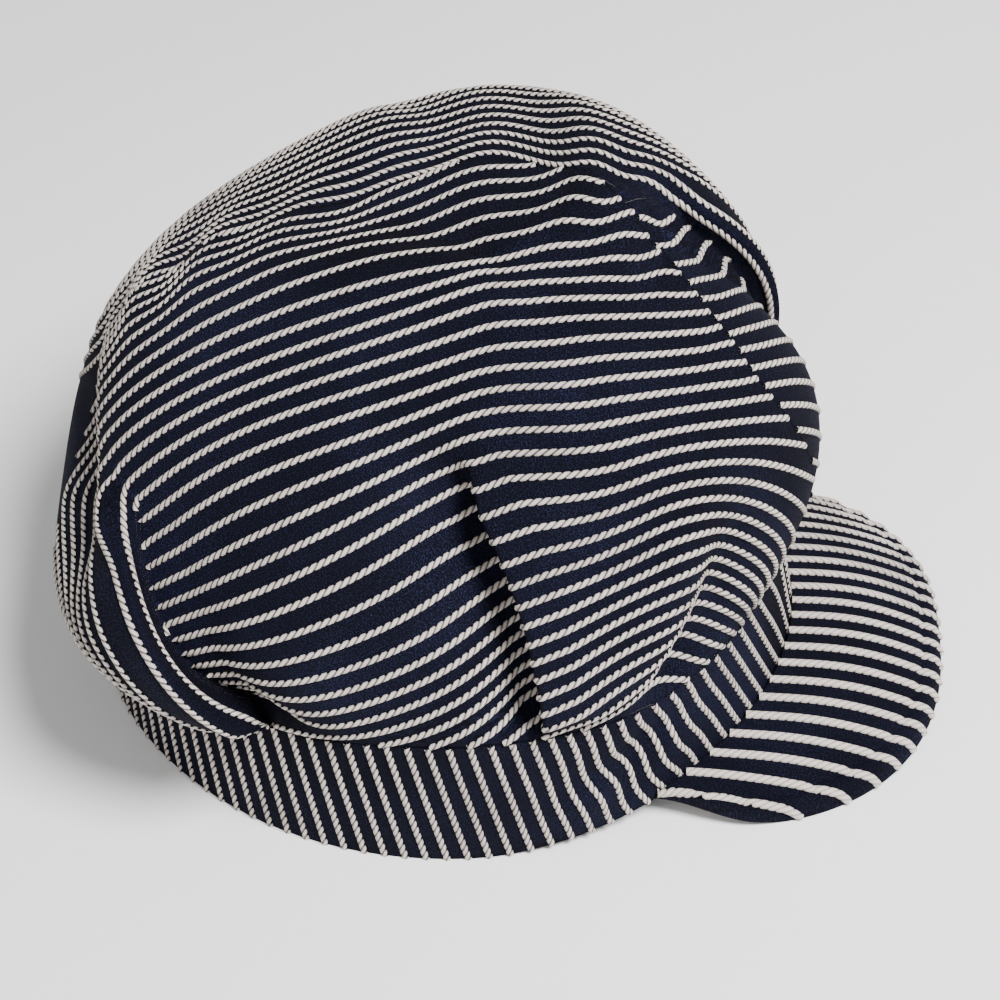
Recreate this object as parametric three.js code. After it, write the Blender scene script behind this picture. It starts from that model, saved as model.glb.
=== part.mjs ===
import * as THREE from "three";

// A soft striped work cap: two crown halves, a plain gore at the back, a band and a peak.
// Millimetres. +Z is up, the peak points to -Y and the wearer's right side is at -X.

// Band, measured on its lower rim
const RIM_LENGTH = 202;
const RIM_WIDTH = 170;
const BAND_HEIGHT = 39;
const BAND_WALL = 2.2;
const BAND_LEAN = 5;
const BACK_STRETCH = 9;
const RIM_LIFT = 17.5;
const LIFT_START = 10;

// The slumped band stands higher at its sides and lower at its front, as shares of its height
const BAND_SIDE_RISE = 0.08;
const BAND_FRONT_DIP = 0.14;

// Crown
const CROWN_HEIGHT = 138;
const CROWN_WALL = 1.6;
const CROWN_LEAN = 10;
const CROWN_FORWARD = 16;
const FOLD_DEPTH = 9;
const GORE_WIDTH = 58;

// Peak
const PEAK_LENGTH = 45;
const PEAK_WIDTH = 144;
const PEAK_WALL = 3;
const PEAK_CORNER_ANGLE = 52;
const PEAK_ROUNDNESS = 2.5;
const PEAK_ARCH = 5;
const PEAK_DOME = 4;
// Shares of the peak's reach over which its corners widen to its full width and drop to the floor
const CORNER_WIDENS = 0.35;
const CORNER_DROPS = 0.5;

// Cut edges that face each other stay this far apart
const SEAM_GAP = 0.3;

// Numbers of steps along and across each sheet
const CROWN_ROWS = 44;
const CROWN_COLUMNS = 24;
const GORE_ROWS = 12;
const GORE_COLUMNS = 6;
const BAND_STEPS = 96;
const PEAK_STEPS = 28;
const PEAK_ROWS = 7;

const HALF_LENGTH = RIM_LENGTH / 2;
const HALF_WIDTH = RIM_WIDTH / 2;
const RADIANS = Math.PI / 180;
const STEP = 0.01;

// How the band's forms spread around it, in degrees from the front, and how round they are
const SIDE_SPREAD = 22;
const FRONT_SPREAD = [75, 48];
const BACK_ROUNDNESS = 6;
const LIFT_ROUNDNESS = 1.6;

// Crown sections, one every 45 degrees from the front over the right side, the back and the left side.
// swell_out and swell_up place the cloth above the band seam, shoulder_out and shoulder_up place it
// at the top. swell_out, swell_up and shoulder_up are shares of the crown's rise above the band,
// shoulder_out is a share of half the rim's width.
const CROWN_SECTIONS = [
  { swell_out: 0.34, swell_up: 0.45, shoulder_out: 0.73, shoulder_up: 0.05 },
  { swell_out: 0.04, swell_up: 0.52, shoulder_out: 0.56, shoulder_up: -0.03 },
  { swell_out: -0.06, swell_up: 0.36, shoulder_out: 0.4, shoulder_up: -0.04 },
  { swell_out: 0.7, swell_up: 0.28, shoulder_out: 0.51, shoulder_up: 0.03 },
  { swell_out: 0.24, swell_up: 0.06, shoulder_out: 1.54, shoulder_up: 0.11 },
  { swell_out: 0.66, swell_up: 0.6, shoulder_out: 1.38, shoulder_up: -0.04 },
  { swell_out: 0.54, swell_up: 0.88, shoulder_out: 1.36, shoulder_up: 0.14 },
  { swell_out: 0.28, swell_up: 0.62, shoulder_out: 1.1, shoulder_up: 0.27 },
];

// The seam between the crown halves on the crown's plan, which is a disc of radius 1. The rows step
// evenly from the front of the band to its back, and a positive share lies to the wearer's left.
const SEAM_ROUTE = [-0.04, -0.09, -0.08, 0.07, 0.14, 0.11, 0.06, 0.02, 0.0];
// Where the gore runs to a point, where its cloth starts, and where it is nearly as wide as at the band
const GORE_TIP = 0.5;
const GORE_TOP = 0.54;
const GORE_SHOULDER = 0.92;
// Where the crown halves end on the disc, and where their cut edge turns level for the band
const HALF_FRONT = -0.9975;
const HALF_BACK_INSET = 0.012;
const HEM_START = 0.9;

// Folds and pleats on the same disc, from the start over a middle point to the end at the band, each
// point as its share across and along. valley and ridge are shares of FOLD_DEPTH, width is a share of
// the disc's radius, and side is the side of the line that laps over: 1 its left, -1 its right.
const FOLDS = [
  {
    name: "centre pleat", start: [-0.27, 0.14], middle: [-0.6, -0.08], end: [-0.99, -0.33],
    valley: 0.75, ridge: 0.5, width: 0.13, side: 1,
  },
  {
    name: "rear pleat", start: [-0.1, 0.52], middle: [-0.42, 0.49], end: [-0.86, 0.5],
    valley: 0.85, ridge: 0.55, width: 0.11, side: -1,
  },
  {
    name: "front fold", start: [-0.33, -0.46], middle: [-0.54, -0.6], end: [-0.82, -0.56],
    valley: 0.6, ridge: 0.45, width: 0.12, side: -1,
  },
  {
    name: "front pocket", start: [0.03, -0.22], middle: [0.08, -0.44], end: [0.24, -0.7],
    valley: 0.7, ridge: 0.35, width: 0.15, side: 1,
  },
  {
    name: "left pleat", start: [0.45, 0.05], middle: [0.7, -0.1], end: [0.98, -0.2],
    valley: 0.7, ridge: 0.45, width: 0.13, side: -1,
  },
  {
    name: "left rear fold", start: [0.4, 0.5], middle: [0.6, 0.52], end: [0.86, 0.5],
    valley: 0.7, ridge: 0.45, width: 0.12, side: 1,
  },
];
// Across a fold, in its own widths: where the valley and the ridge lie, and how sharp they are
const VALLEY_PLACE = -0.35;
const RIDGE_PLACE = 0.7;
const FOLD_SHARPNESS = 2.2;
// Along a fold: the share of its length over which it deepens, and the reach where it starts to
// flatten towards the band
const FOLD_TAPER = 0.45;
const FOLD_FLATTENS = 0.86;
const FOLD_SAMPLES = 12;

const navyStripe = new THREE.MeshStandardMaterial({ color: 0x4a4d66, roughness: 0.9, metalness: 0 });
const plainNavy = new THREE.MeshStandardMaterial({ color: 0x14172e, roughness: 0.92, metalness: 0 });
const paleStripe = new THREE.MeshStandardMaterial({ color: 0x8a8790, roughness: 0.9, metalness: 0 });

function clamp01(value) {
  return Math.min(1, Math.max(0, value));
}

// Rises from 0 at start to 1 at end, which may lie on either side of it.
function smoothStep(start, end, value) {
  const share = clamp01((value - start) / (end - start));
  return share * share * (3 - 2 * share);
}

function catmullRom(a, b, c, d, share) {
  const linear = c - a;
  const square = 2 * a - 5 * b + 4 * c - d;
  const cube = -a + 3 * b - 3 * c + d;
  return 0.5 * (2 * b + linear * share + square * share ** 2 + cube * share ** 3);
}

// The front of the rim rises from the floor, because the peak holds it up.
function rimLift(y) {
  const share = Math.max(0, (-LIFT_START - y) / (HALF_LENGTH - LIFT_START));
  return RIM_LIFT * share ** LIFT_ROUNDNESS;
}

// A point of the band, with the angle in degrees from the front towards the wearer's right. The back
// is stretched a little past the ellipse.
function bandPoint(angle, inset, height) {
  const forward = Math.cos(angle * RADIANS);
  const x = -(HALF_WIDTH - inset) * Math.sin(angle * RADIANS);
  const y = -(HALF_LENGTH - inset) * forward + BACK_STRETCH * Math.max(0, -forward) ** BACK_ROUNDNESS;
  return new THREE.Vector3(x, y, rimLift(y) + height);
}

function bandHeight(angle) {
  const fromFront = Math.min(angle, 360 - angle);
  const atSide = Math.exp(-(((fromFront - 90) / SIDE_SPREAD) ** 2));
  const atFront = smoothStep(...FRONT_SPREAD, fromFront);
  return BAND_HEIGHT * (1 + BAND_SIDE_RISE * atSide - BAND_FRONT_DIP * atFront);
}

// A value of the crown's section table at any angle around the band.
function sectionValue(name, angle) {
  const count = CROWN_SECTIONS.length;
  const turn = ((angle / 360) * count + count) % count;
  const first = Math.floor(turn);
  const value = (step) => CROWN_SECTIONS[(first + step + count) % count][name];
  return catmullRom(value(-1), value(0), value(1), value(2), turn - first);
}

// The crown's outside without its folds, at a point of the plan disc.
function crownSurface(across, along) {
  const reach = Math.hypot(across, along);
  const angle = (Math.atan2(-across, -along) / RADIANS + 360) % 360;
  const seam = bandPoint(angle, BAND_LEAN, bandHeight(angle) + SEAM_GAP);
  const rise = CROWN_HEIGHT - BAND_HEIGHT;
  const outward = new THREE.Vector3(seam.x, seam.y, 0).normalize();
  const swell = seam.clone().addScaledVector(outward, sectionValue("swell_out", angle) * rise);
  swell.z += sectionValue("swell_up", angle) * rise;
  const top = new THREE.Vector3(CROWN_LEAN, -CROWN_FORWARD, CROWN_HEIGHT);
  const shoulder = top.clone().addScaledVector(outward, sectionValue("shoulder_out", angle) * HALF_WIDTH);
  shoulder.z += sectionValue("shoulder_up", angle) * rise;
  return new THREE.CubicBezierCurve3(top, shoulder, swell, seam).getPoint(reach);
}

function surfaceNormal(across, along) {
  const eastward = crownSurface(across + STEP, along).sub(crownSurface(across - STEP, along));
  const backward = crownSurface(across, along + STEP).sub(crownSurface(across, along - STEP));
  return eastward.cross(backward).normalize();
}

const foldLines = FOLDS.map((fold) => {
  const ends = [fold.start, fold.middle, fold.end].map((place) => new THREE.Vector2(...place));
  return new THREE.SplineCurve(ends).getPoints(FOLD_SAMPLES);
});

// The nearest place on a fold's line: signed distance across it and share of the way along it.
function nearestOnLine(line, place) {
  let best = { distance: Infinity, share: 0 };
  for (let k = 0; k + 1 < line.length; k += 1) {
    const run = line[k + 1].clone().sub(line[k]);
    const offset = place.clone().sub(line[k]);
    const along = clamp01(offset.dot(run) / run.lengthSq());
    const gap = offset.clone().addScaledVector(run, -along);
    const distance = gap.length() * Math.sign(run.cross(offset) || 1);
    if (Math.abs(distance) < Math.abs(best.distance)) {
      best = { distance, share: (k + along) / (line.length - 1) };
    }
  }
  return best;
}

// How far the folds push the cloth out (+) or in (-) at a point of the disc.
function foldRelief(across, along) {
  const place = new THREE.Vector2(across, along);
  let relief = 0;
  FOLDS.forEach((fold, k) => {
    const near = nearestOnLine(foldLines[k], place);
    const over = (near.distance * fold.side) / fold.width;
    const taper = smoothStep(0, FOLD_TAPER, near.share);
    const valley = fold.valley * Math.exp(-((over - VALLEY_PLACE) ** 2) * FOLD_SHARPNESS);
    const ridge = fold.ridge * Math.exp(-((over - RIDGE_PLACE) ** 2) * FOLD_SHARPNESS);
    relief += FOLD_DEPTH * taper * (ridge - valley);
  });
  return relief * smoothStep(1, FOLD_FLATTENS, Math.hypot(across, along));
}

// A point of the crown's cloth, depth below its outer face. At the band the cloth's cut edge lies level.
function crownPoint(across, along, depth) {
  const normal = surfaceNormal(across, along);
  normal.z *= smoothStep(1, HEM_START, Math.hypot(across, along));
  normal.normalize();
  return crownSurface(across, along).addScaledVector(normal, foldRelief(across, along) - depth);
}

function seamAcross(along) {
  const last = SEAM_ROUTE.length - 1;
  const place = clamp01((along + 1) / 2) * last;
  const first = Math.min(Math.floor(place), last - 1);
  const value = (step) => SEAM_ROUTE[Math.min(last, Math.max(0, first + step))];
  return catmullRom(value(-1), value(0), value(1), value(2), place - first);
}

// Half the gore's width on the disc: nothing at its tip, widest at the band.
function goreHalfShare(along) {
  const widest = GORE_WIDTH / 2 / HALF_WIDTH;
  return widest * smoothStep(GORE_TIP, GORE_SHOULDER, along);
}

// The share of the disc that stands for half of the gap between two cut edges.
function halfGapShare(across, along) {
  const run = crownSurface(across + STEP, along).distanceTo(crownSurface(across - STEP, along));
  return (SEAM_GAP * STEP) / run;
}

// One closed sheet from its outer and inner grids of points.
function sheetGeometry(outer, inner, wraps) {
  const rows = outer.length;
  const columns = outer[0].length;
  const positions = [];
  const at = (layer, i, j) => layer * rows * columns + (i % rows) * columns + j;
  for (const layer of [outer, inner]) {
    for (const row of layer) {
      for (const point of row) positions.push(point.x, point.y, point.z);
    }
  }
  const triangles = [];
  const quad = (a, b, c, d) => triangles.push(a, b, c, a, c, d);
  const rowSteps = wraps ? rows : rows - 1;
  for (let i = 0; i < rowSteps; i += 1) {
    for (let j = 0; j + 1 < columns; j += 1) {
      quad(at(0, i, j), at(0, i, j + 1), at(0, i + 1, j + 1), at(0, i + 1, j));
      quad(at(1, i, j), at(1, i + 1, j), at(1, i + 1, j + 1), at(1, i, j + 1));
    }
    quad(at(0, i, 0), at(0, i + 1, 0), at(1, i + 1, 0), at(1, i, 0));
    const last = columns - 1;
    quad(at(0, i, last), at(1, i, last), at(1, i + 1, last), at(0, i + 1, last));
  }
  if (!wraps) {
    for (let j = 0; j + 1 < columns; j += 1) {
      quad(at(0, 0, j), at(1, 0, j), at(1, 0, j + 1), at(0, 0, j + 1));
      const end = rows - 1;
      quad(at(0, end, j), at(0, end, j + 1), at(1, end, j + 1), at(1, end, j));
    }
  }
  const geometry = new THREE.BufferGeometry();
  geometry.setAttribute("position", new THREE.Float32BufferAttribute(positions, 3));
  geometry.setIndex(triangles);
  if (signedVolume(geometry) < 0) {
    for (let k = 0; k < triangles.length; k += 3) {
      [triangles[k + 1], triangles[k + 2]] = [triangles[k + 2], triangles[k + 1]];
    }
    geometry.setIndex(triangles);
  }
  geometry.computeVertexNormals();
  return geometry;
}

function signedVolume(geometry) {
  const position = geometry.getAttribute("position");
  const index = geometry.getIndex();
  const corner = [0, 1, 2].map(() => new THREE.Vector3());
  let volume = 0;
  for (let k = 0; k < index.count; k += 3) {
    corner.forEach((point, step) => point.fromBufferAttribute(position, index.getX(k + step)));
    volume += corner[0].dot(corner[1].clone().cross(corner[2])) / 6;
  }
  return volume;
}

function namedMesh(name, geometry, material) {
  const mesh = new THREE.Mesh(geometry, material);
  mesh.name = name;
  return mesh;
}

// Half of the crown, on side -1 (the wearer's right) or 1, between the seam, the gore and the band.
function crownHalf(name, side, material) {
  const widest = goreHalfShare(1);
  const backEnd = Math.sqrt(1 - widest ** 2) - HALF_BACK_INSET;
  const grids = [[], []];
  for (let i = 0; i < CROWN_ROWS; i += 1) {
    const turn = (i / (CROWN_ROWS - 1)) * Math.PI;
    const share = (1 - Math.cos(turn)) / 2;
    const along = HALF_FRONT + (backEnd - HALF_FRONT) * share;
    const edge = seamAcross(along) + side * goreHalfShare(along);
    const inside = edge + side * halfGapShare(edge, along);
    const outside = side * Math.sqrt(1 - along ** 2);
    grids.forEach((grid, layer) => {
      const row = [];
      for (let j = 0; j < CROWN_COLUMNS; j += 1) {
        const across = inside + (outside - inside) * (j / (CROWN_COLUMNS - 1));
        row.push(crownPoint(across, along, layer * CROWN_WALL));
      }
      grid.push(row);
    });
  }
  return namedMesh(name, sheetGeometry(grids[0], grids[1], false), material);
}

// The plain gore that lies between the two halves at the back.
function backGore() {
  const grids = [[], []];
  for (let i = 0; i < GORE_ROWS; i += 1) {
    const share = i / (GORE_ROWS - 1);
    grids.forEach((grid, layer) => {
      const row = [];
      for (let j = 0; j < GORE_COLUMNS; j += 1) {
        const side = (j / (GORE_COLUMNS - 1)) * 2 - 1;
        const rim = Math.sqrt(1 - (side * goreHalfShare(1)) ** 2);
        const along = GORE_TOP + (rim - GORE_TOP) * share;
        const half = goreHalfShare(along);
        const gap = halfGapShare(seamAcross(along) + side * half, along);
        row.push(crownPoint(seamAcross(along) + side * (half - gap), along, layer * CROWN_WALL));
      }
      grid.push(row);
    });
  }
  return namedMesh("back_gore", sheetGeometry(grids[0], grids[1], false), plainNavy);
}

function band() {
  const levels = [0, 0.5, 1];
  const grids = [[], []];
  for (let i = 0; i < BAND_STEPS; i += 1) {
    const angle = (i / BAND_STEPS) * 360;
    grids.forEach((grid, layer) => {
      const inset = layer * BAND_WALL;
      const height = bandHeight(angle);
      grid.push(levels.map((level) => bandPoint(angle, level * BAND_LEAN + inset, level * height)));
    });
  }
  return namedMesh("band", sheetGeometry(grids[0], grids[1], true), navyStripe);
}

// The outer edge of the peak's upper face, turn -1 at the left corner to 1 at the right corner.
function peakEdge(turn) {
  const corner = bandPoint(PEAK_CORNER_ANGLE, 0, 0);
  const sweep = turn * 90 * RADIANS;
  const power = 2 / PEAK_ROUNDNESS;
  const sideways = Math.sign(turn) * Math.abs(Math.sin(sweep)) ** power;
  const forward = Math.abs(Math.cos(sweep)) ** power;
  const blend = smoothStep(0, CORNER_WIDENS, forward);
  const halfWidth = -corner.x + (PEAK_WIDTH / 2 + corner.x) * blend;
  const y = corner.y - (HALF_LENGTH + PEAK_LENGTH + corner.y) * forward;
  const atCorner = corner.z * (1 - smoothStep(0, CORNER_DROPS, forward));
  const arch = PEAK_ARCH * (1 - sideways ** 2) ** 2;
  return new THREE.Vector3(-halfWidth * sideways, y, PEAK_WALL + atCorner + arch);
}

function peak() {
  const grids = [[], []];
  for (let i = 0; i <= PEAK_STEPS; i += 1) {
    const turn = (i / PEAK_STEPS) * 2 - 1;
    const root = bandPoint(turn * PEAK_CORNER_ANGLE, -SEAM_GAP, PEAK_WALL);
    const edge = peakEdge(turn);
    grids.forEach((grid, layer) => {
      const row = [];
      for (let j = 0; j < PEAK_ROWS; j += 1) {
        const share = j / (PEAK_ROWS - 1);
        const point = root.clone().lerp(edge, share);
        const middle = 1 - turn ** 2;
        point.z += PEAK_DOME * Math.sin(Math.PI * share) * middle - layer * PEAK_WALL;
        row.push(point);
      }
      grid.push(row);
    });
  }
  return namedMesh("peak", sheetGeometry(grids[0], grids[1], false), paleStripe);
}

const cap = new THREE.Group();
cap.add(crownHalf("crown_right", -1, navyStripe));
cap.add(crownHalf("crown_left", 1, navyStripe));
cap.add(backGore());
cap.add(band());
cap.add(peak());

// The origin is the middle of the bounding box on the floor.
const box = new THREE.Box3().setFromObject(cap);
const middle = box.getCenter(new THREE.Vector3());
cap.position.set(-middle.x, -middle.y, -box.min.z);
cap.updateMatrixWorld(true);

export default cap;
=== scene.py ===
import math

import bpy
import numpy as np
from mathutils import Matrix, Vector


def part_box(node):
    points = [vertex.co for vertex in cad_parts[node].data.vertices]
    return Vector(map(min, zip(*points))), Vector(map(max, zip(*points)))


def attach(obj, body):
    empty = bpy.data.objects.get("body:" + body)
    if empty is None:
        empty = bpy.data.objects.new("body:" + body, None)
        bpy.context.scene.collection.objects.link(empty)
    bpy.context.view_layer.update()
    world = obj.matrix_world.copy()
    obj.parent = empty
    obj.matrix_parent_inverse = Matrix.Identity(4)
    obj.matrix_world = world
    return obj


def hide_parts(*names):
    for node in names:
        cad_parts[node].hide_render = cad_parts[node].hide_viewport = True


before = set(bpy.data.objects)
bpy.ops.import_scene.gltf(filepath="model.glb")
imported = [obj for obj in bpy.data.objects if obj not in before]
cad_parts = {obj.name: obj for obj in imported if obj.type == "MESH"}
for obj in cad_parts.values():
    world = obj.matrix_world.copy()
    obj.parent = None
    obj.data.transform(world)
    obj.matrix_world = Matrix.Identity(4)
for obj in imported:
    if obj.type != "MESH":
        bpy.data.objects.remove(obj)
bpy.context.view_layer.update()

# Sizes of the cap in millimetres. They are the solids' sizes, except that the cloth's back gore is
# wider and starts higher up.
RIM_LENGTH = 202
RIM_WIDTH = 170
BAND_HEIGHT = 39
BAND_WALL = 2.2
BAND_LEAN = 5
BACK_STRETCH = 9
BAND_SIDE_RISE = 0.08
BAND_FRONT_DIP = 0.14
RIM_LIFT = 17.5
LIFT_START = 10
CROWN_HEIGHT = 138
CROWN_WALL = 1.6
CROWN_LEAN = 10
CROWN_FORWARD = 16
GORE_WIDTH = 74
PEAK_LENGTH = 45
PEAK_WIDTH = 144
PEAK_WALL = 3
PEAK_CORNER_ANGLE = 52
PEAK_ROUNDNESS = 2.5
PEAK_ARCH = 5
PEAK_DOME = 4
SEAM_GAP = 0.3

HALF_LENGTH = RIM_LENGTH / 2
HALF_WIDTH = RIM_WIDTH / 2
RISE = CROWN_HEIGHT - BAND_HEIGHT

# Cloth, in millimetres: from cord to cord, the raised cords' widths and one turn of their twist
PITCH = 6.0
BAND_PITCH = 5.8
CORD_WIDTH = 2.0
BAND_CORD_WIDTH = 2.1
PEAK_CORD_WIDTH = 2.7
TWIST = 2.4
# The flat stripes lie on the cloth's inner side. This spacing hides them on its outside, and where
# a fold is deeper than this depth.
FLAT_STRIPE_WIDTH = 1.9
HIDDEN_SPACING = 400.0
STRIPE_FOLD_DEPTH = 1.0
# Between these fold depths the wall's thickness turns from the plain crown's normal to the fold's
WALL_TURN = (0.3, 1.5)
WALL_TURN_END = 0.96
# Cords shorter than this are left out, and a closed loop counts for a share of its length
SHORTEST_CORD = 14.0
LOOP_SHARE = 0.3
# Where cord numbers differ by more than this between neighbouring points, the cords end
CORD_JUMP = 0.9
# The peak's middle lies this share of a cord beside a cord, and its stitching runs inside its edge
PEAK_CORD_OFFSET = 0.15
STITCH_INSET = 6.0
STITCH_DEPTH = 0.7
STITCH_SPREAD = 0.9
EDGE_ROUND = 2.6
EDGE_LEFT = 0.5
# The band's cords slant, more so at the front, and it is crumpled round one angle and level.
# The crumple's angles are in degrees and its levels are shares of the band's height.
BAND_SKEW = 0.2
BAND_FRONT_SKEW = 0.15
CRUMPLE_ANGLE = 54
CRUMPLE_SPREAD = 12
CRUMPLE_DEPTH = 1.2
CRUMPLE_WAVES = 24
CRUMPLE_TURN = 2.5
CRUMPLE_CORDS = 0.22
CREASE_LEVEL = 0.62
CREASE_SLANT = 0.012
CREASE_SPREAD = 0.14
CREASE_DEPTH = 2.4

# Points across and along each sheet
CROWN_ROWS = 280
CROWN_COLUMNS = 150
GORE_ROWS = 60
GORE_COLUMNS = 50
BAND_STEPS = 720
BAND_LEVELS = 20
PEAK_STEPS = 200
PEAK_ROWS = 70

# Crown sections every 45 degrees from the front over the right side, the back and the left side:
# swell_out, swell_up, shoulder_out, shoulder_up. Most of these shares are a fit to the crown's
# outline, rounded, and not chosen by hand.
CROWN_SECTIONS = np.array([
    (0.34, 0.45, 0.73, 0.05),
    (0.04, 0.52, 0.56, -0.03),
    (-0.06, 0.36, 0.40, -0.04),
    (0.70, 0.28, 0.51, 0.03),
    (0.24, 0.06, 1.54, 0.11),
    (0.66, 0.60, 1.38, -0.04),
    (0.54, 0.88, 1.36, 0.14),
    (0.28, 0.62, 1.10, 0.27),
])
SEAM_ROUTE = np.array([-0.04, -0.09, -0.08, 0.07, 0.14, 0.11, 0.06, 0.02, 0.0])
GORE_TIP = 0.44
GORE_TOP = 0.48
GORE_FULL = 0.92
# Where the crown's halves start at the front, and how far short of the gore's corner they end
FRONT_END = -0.9975
BACK_MARGIN = 0.012

# Camera, in the cap's own frame with the band's middle at the origin
VIEW_AZIMUTH = -82.0
VIEW_ELEVATION = 43.0
VIEW_DISTANCE = 625.0
VIEW_ROLL = -4.6
VIEW_FOCUS = (19.0, -13.0, 41.0)
SENSOR_WIDTH = 36.0
VIEW_LENS = 2.06 * SENSOR_WIDTH

# Studio, in metres
LIGHT_AIM = (0, 0, 0.06)
FLOOR_SIZE = 12.0
FLOOR_COLOR = (0.97, 0.97, 0.97, 1)
SKY_STRENGTH = 0.36


def smooth_step(start, end, value):
    share = np.clip((value - start) / (end - start), 0.0, 1.0)
    return share * share * (3 - 2 * share)


def bell(value, spread):
    return np.exp(-((value / spread) ** 2))


def catmull_rom(a, b, c, d, share):
    linear = c - a
    square = 2 * a - 5 * b + 4 * c - d
    cube = -a + 3 * b - 3 * c + d
    return 0.5 * (2 * b + linear * share + square * share ** 2 + cube * share ** 3)


def evenly_spaced(table, place):
    """The smooth curve through evenly spaced values, at place from 0 to 1."""
    last = len(table) - 1
    place = np.clip(place, 0.0, 1.0) * last
    first = np.minimum(place.astype(int), last - 1)

    def value(step):
        return table[np.clip(first + step, 0, last)]

    return catmull_rom(value(-1), value(0), value(1), value(2), place - first)


def around(column, angle):
    count = len(CROWN_SECTIONS)
    turn = np.mod(angle / 360.0 * count, count)
    first = np.floor(turn).astype(int)

    def value(step):
        return CROWN_SECTIONS[(first + step) % count, column]

    return catmull_rom(value(-1), value(0), value(1), value(2), turn - first)


def rim_lift(y):
    share = np.maximum(0.0, (-LIFT_START - y) / (HALF_LENGTH - LIFT_START))
    return RIM_LIFT * share ** 1.6


def band_point(angle, inset, height):
    """A point of the band; the angle goes in degrees from the front towards the wearer's right."""
    turn = np.radians(angle)
    forward = np.cos(turn)
    x = -(HALF_WIDTH - inset) * np.sin(turn)
    y = -(HALF_LENGTH - inset) * forward + BACK_STRETCH * np.maximum(0, -forward) ** 6
    return np.stack(np.broadcast_arrays(x, y, rim_lift(y) + height), -1)


def band_height(angle):
    from_front = np.minimum(angle, 360 - angle)
    at_side = bell(from_front - 90, 22)
    at_front = smooth_step(75, 48, from_front)
    return BAND_HEIGHT * (1 + BAND_SIDE_RISE * at_side - BAND_FRONT_DIP * at_front)


def crown_surface(across, along):
    """The crown's outside without folds, at points of its plan disc."""
    reach = np.hypot(across, along)[..., None]
    angle = np.mod(np.degrees(np.arctan2(-across, -along)), 360.0)
    seam = band_point(angle, BAND_LEAN, band_height(angle) + SEAM_GAP)
    outward = seam * (1, 1, 0)
    outward /= np.linalg.norm(outward, axis=-1, keepdims=True)
    swell = seam + outward * (around(0, angle) * RISE)[..., None]
    swell[..., 2] += around(1, angle) * RISE
    top = np.array((CROWN_LEAN, -CROWN_FORWARD, CROWN_HEIGHT))
    shoulder = top + outward * (around(2, angle) * HALF_WIDTH)[..., None]
    shoulder[..., 2] += around(3, angle) * RISE
    rest = 1 - reach
    return (rest ** 3 * top + 3 * reach * rest ** 2 * shoulder
            + 3 * reach ** 2 * rest * swell + reach ** 3 * seam)


def surface_frame(across, along):
    """Unit directions across and along the cloth, and its normal."""
    step = 0.006
    right = crown_surface(across + step, along) - crown_surface(across - step, along)
    back = crown_surface(across, along + step) - crown_surface(across, along - step)
    right /= np.linalg.norm(right, axis=-1, keepdims=True)
    back /= np.linalg.norm(back, axis=-1, keepdims=True)
    normal = np.cross(right, back)
    normal /= np.linalg.norm(normal, axis=-1, keepdims=True)
    return right, back, normal


def seam_across(along):
    return evenly_spaced(SEAM_ROUTE, (along + 1) / 2)


def gore_half_share(along):
    widest = GORE_WIDTH / 2 / HALF_WIDTH
    return widest * smooth_step(GORE_TIP, GORE_FULL, along)


def half_gap_share(across, along):
    step = 0.01
    run = crown_surface(across + step, along) - crown_surface(across - step, along)
    return SEAM_GAP / 2 * (2 * step) / np.linalg.norm(run, axis=-1)


# Folds and pleats of the crown. Each line runs from its start over a middle point to its end on the
# disc. The valley, the ridge beside it and the lap of the lip over the valley are in millimetres,
# the width of the relief is a share of the disc's radius, and the fold reaches its full depth at
# the share called opens. Where closes is under 1 it fades from that share to its end. A larger
# steep makes the step from lip to valley softer. side says which side laps over: 1 is the left of
# the line as it runs, -1 its right.
FOLDS = [
    dict(name="centre pleat", start=(-0.33, 0.15), middle=(-0.63, -0.20), end=(-0.99, -0.38),
         valley=12.0, ridge=5.0, width=0.13, lap=6.5, opens=0.42, steep=0.16, closes=2.0, side=1),
    dict(name="rear pleat", start=(-0.14, 0.47), middle=(-0.44, 0.45), end=(-0.88, 0.44),
         valley=12.0, ridge=4.5, width=0.12, lap=6.0, opens=0.6, steep=0.16, closes=2.0, side=-1),
    dict(name="rear crease", start=(0.20, 0.42), middle=(-0.12, 0.49), end=(-0.52, 0.52),
         valley=9.0, ridge=2.0, width=0.12, lap=2.0, opens=0.4, steep=0.45, closes=0.7, side=1),
    dict(name="front fold", start=(-0.33, -0.51), middle=(-0.54, -0.64), end=(-0.84, -0.57),
         valley=10.0, ridge=4.0, width=0.14, lap=0.0, opens=0.4, steep=0.45, closes=2.0, side=-1),
    dict(name="front pocket", start=(0.15, -0.14), middle=(0.21, -0.40), end=(0.36, -0.66),
         valley=10.0, ridge=0.0, width=0.14, lap=5.0, opens=0.35, steep=0.16, closes=2.0, side=1),
    dict(name="left pleat", start=(0.45, 0.05), middle=(0.70, -0.10), end=(0.98, -0.20),
         valley=8.0, ridge=4.5, width=0.12, lap=5.0, opens=0.6, steep=0.16, closes=2.0, side=-1),
    dict(name="left rear fold", start=(0.40, 0.50), middle=(0.60, 0.52), end=(0.88, 0.50),
         valley=8.0, ridge=4.5, width=0.12, lap=3.0, opens=0.6, steep=0.45, closes=2.0, side=1),
    dict(name="top dent", start=(0.12, 0.06), middle=(0.30, 0.09), end=(0.50, 0.14),
         valley=3.5, ridge=1.5, width=0.06, lap=0.0, opens=0.4, steep=0.45, closes=0.6, side=1),
    dict(name="second top dent", start=(0.13, -0.07), middle=(0.26, -0.06), end=(0.42, -0.04),
         valley=2.5, ridge=1.5, width=0.06, lap=0.0, opens=0.4, steep=0.45, closes=0.6, side=-1),
]
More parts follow.
